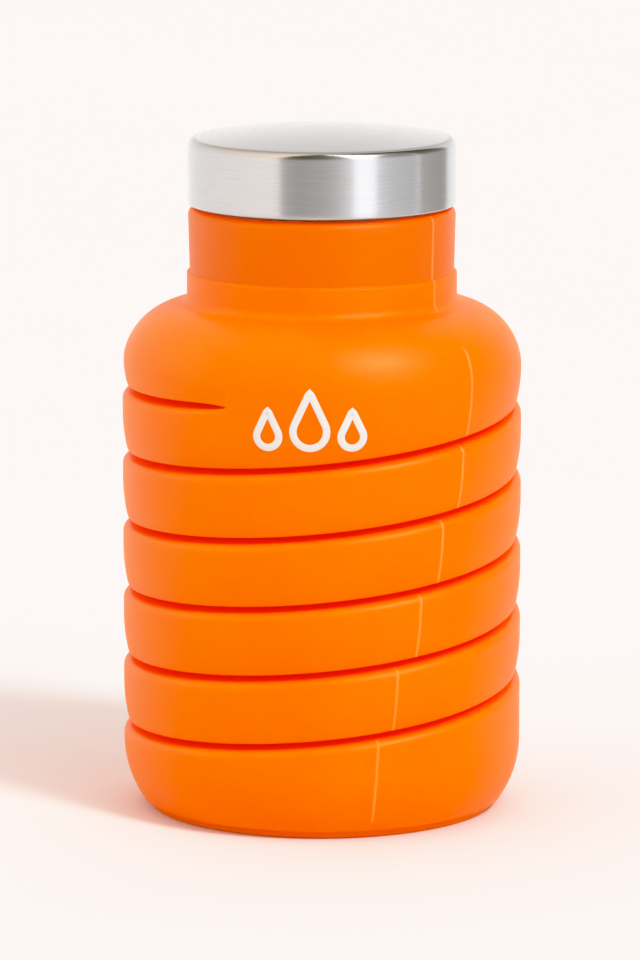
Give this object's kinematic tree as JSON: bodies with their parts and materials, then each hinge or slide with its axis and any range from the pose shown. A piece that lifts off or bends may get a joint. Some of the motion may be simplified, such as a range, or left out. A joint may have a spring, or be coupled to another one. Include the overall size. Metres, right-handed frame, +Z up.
{
  "type": "folding water bottle",
  "caption": "Collapsible silicone water bottle with a spiral folding wall, stored folded, with a threaded neck insert and a brushed steel screw cap.",
  "frame": {"origin": "centre of the foot ring, on the surface the bottle stands on", "axes": "+Z up along the bottle, -Y towards the front, +X to the right"},
  "size_m": [0.0826, 0.0826, 0.1417],
  "materials": {
    "silicone_body": "matt orange silicone",
    "silicone_web": "matt deep orange silicone",
    "insert_plastic": "satin natural plastic",
    "gasket_silicone": "matt translucent silicone",
    "liner_plastic": "satin white plastic",
    "cap_steel": "brushed"
  },
  "bodies": {
    "base": {"base_cup": "silicone_body", "fold_web": "silicone_web"},
    "band_1": {"spiral_band_1": "silicone_body"},
    "band_2": {"spiral_band_2": "silicone_body"},
    "band_3": {"spiral_band_3": "silicone_body"},
    "band_4": {"spiral_band_4": "silicone_body"},
    "band_5": {"spiral_band_5": "silicone_body"},
    "band_6": {"spiral_band_6": "silicone_body"},
    "band_7": {"spiral_band_7": "silicone_body"},
    "band_8": {"spiral_band_8": "silicone_body"},
    "band_9": {"spiral_band_9": "silicone_body"},
    "upper": {"shoulder": "silicone_body", "neck_insert": "insert_plastic"},
    "gasket": {"cap_gasket": "gasket_silicone"},
    "cap": {"cap_shell": "cap_steel", "cap_liner": "liner_plastic"}
  },
  "joints": [
    {"name": "expand", "type": "slide", "parent": "base", "child": "upper", "axis": [0, 0, 1], "range_m": [0, 0.079], "deforming": ["fold_web"]},
    {"name": "band_1_rise", "type": "slide", "parent": "base", "child": "band_1", "axis": [0, 0, 1], "range_m": [0, 0.07462]},
    {"name": "band_2_rise", "type": "slide", "parent": "base", "child": "band_2", "axis": [0, 0, 1], "range_m": [0, 0.06584]},
    {"name": "band_3_rise", "type": "slide", "parent": "base", "child": "band_3", "axis": [0, 0, 1], "range_m": [0, 0.05707]},
    {"name": "band_4_rise", "type": "slide", "parent": "base", "child": "band_4", "axis": [0, 0, 1], "range_m": [0, 0.04829]},
    {"name": "band_5_rise", "type": "slide", "parent": "base", "child": "band_5", "axis": [0, 0, 1], "range_m": [0, 0.03951]},
    {"name": "band_6_rise", "type": "slide", "parent": "base", "child": "band_6", "axis": [0, 0, 1], "range_m": [0, 0.03073]},
    {"name": "band_7_rise", "type": "slide", "parent": "base", "child": "band_7", "axis": [0, 0, 1], "range_m": [0, 0.02195]},
    {"name": "band_8_rise", "type": "slide", "parent": "base", "child": "band_8", "axis": [0, 0, 1], "range_m": [0, 0.01318]},
    {"name": "band_9_rise", "type": "slide", "parent": "base", "child": "band_9", "axis": [0, 0, 1], "range_m": [0, 0.0044]},
    {"name": "cap_rise", "type": "slide", "parent": "upper", "child": "gasket", "axis": [0, 0, 1], "range_m": [0, 0.01001]},
    {"name": "cap_turn", "type": "hinge", "parent": "gasket", "child": "cap", "pos_m": [0, 0, 0.1316], "axis": [0, 0, 1], "range_deg": [0, 450]}
  ],
  "couplings": [
    {"joint": "band_1_rise", "follows": "expand", "ratio": 0.94444},
    {"joint": "band_2_rise", "follows": "expand", "ratio": 0.83333},
    {"joint": "band_3_rise", "follows": "expand", "ratio": 0.72222},
    {"joint": "band_4_rise", "follows": "expand", "ratio": 0.61111},
    {"joint": "band_5_rise", "follows": "expand", "ratio": 0.5},
    {"joint": "band_6_rise", "follows": "expand", "ratio": 0.38889},
    {"joint": "band_7_rise", "follows": "expand", "ratio": 0.27778},
    {"joint": "band_8_rise", "follows": "expand", "ratio": 0.16667},
    {"joint": "band_9_rise", "follows": "expand", "ratio": 0.055556},
    {"joint": "cap_rise", "follows": "cap_turn", "m_per_rad": 0.0012732}
  ]
}
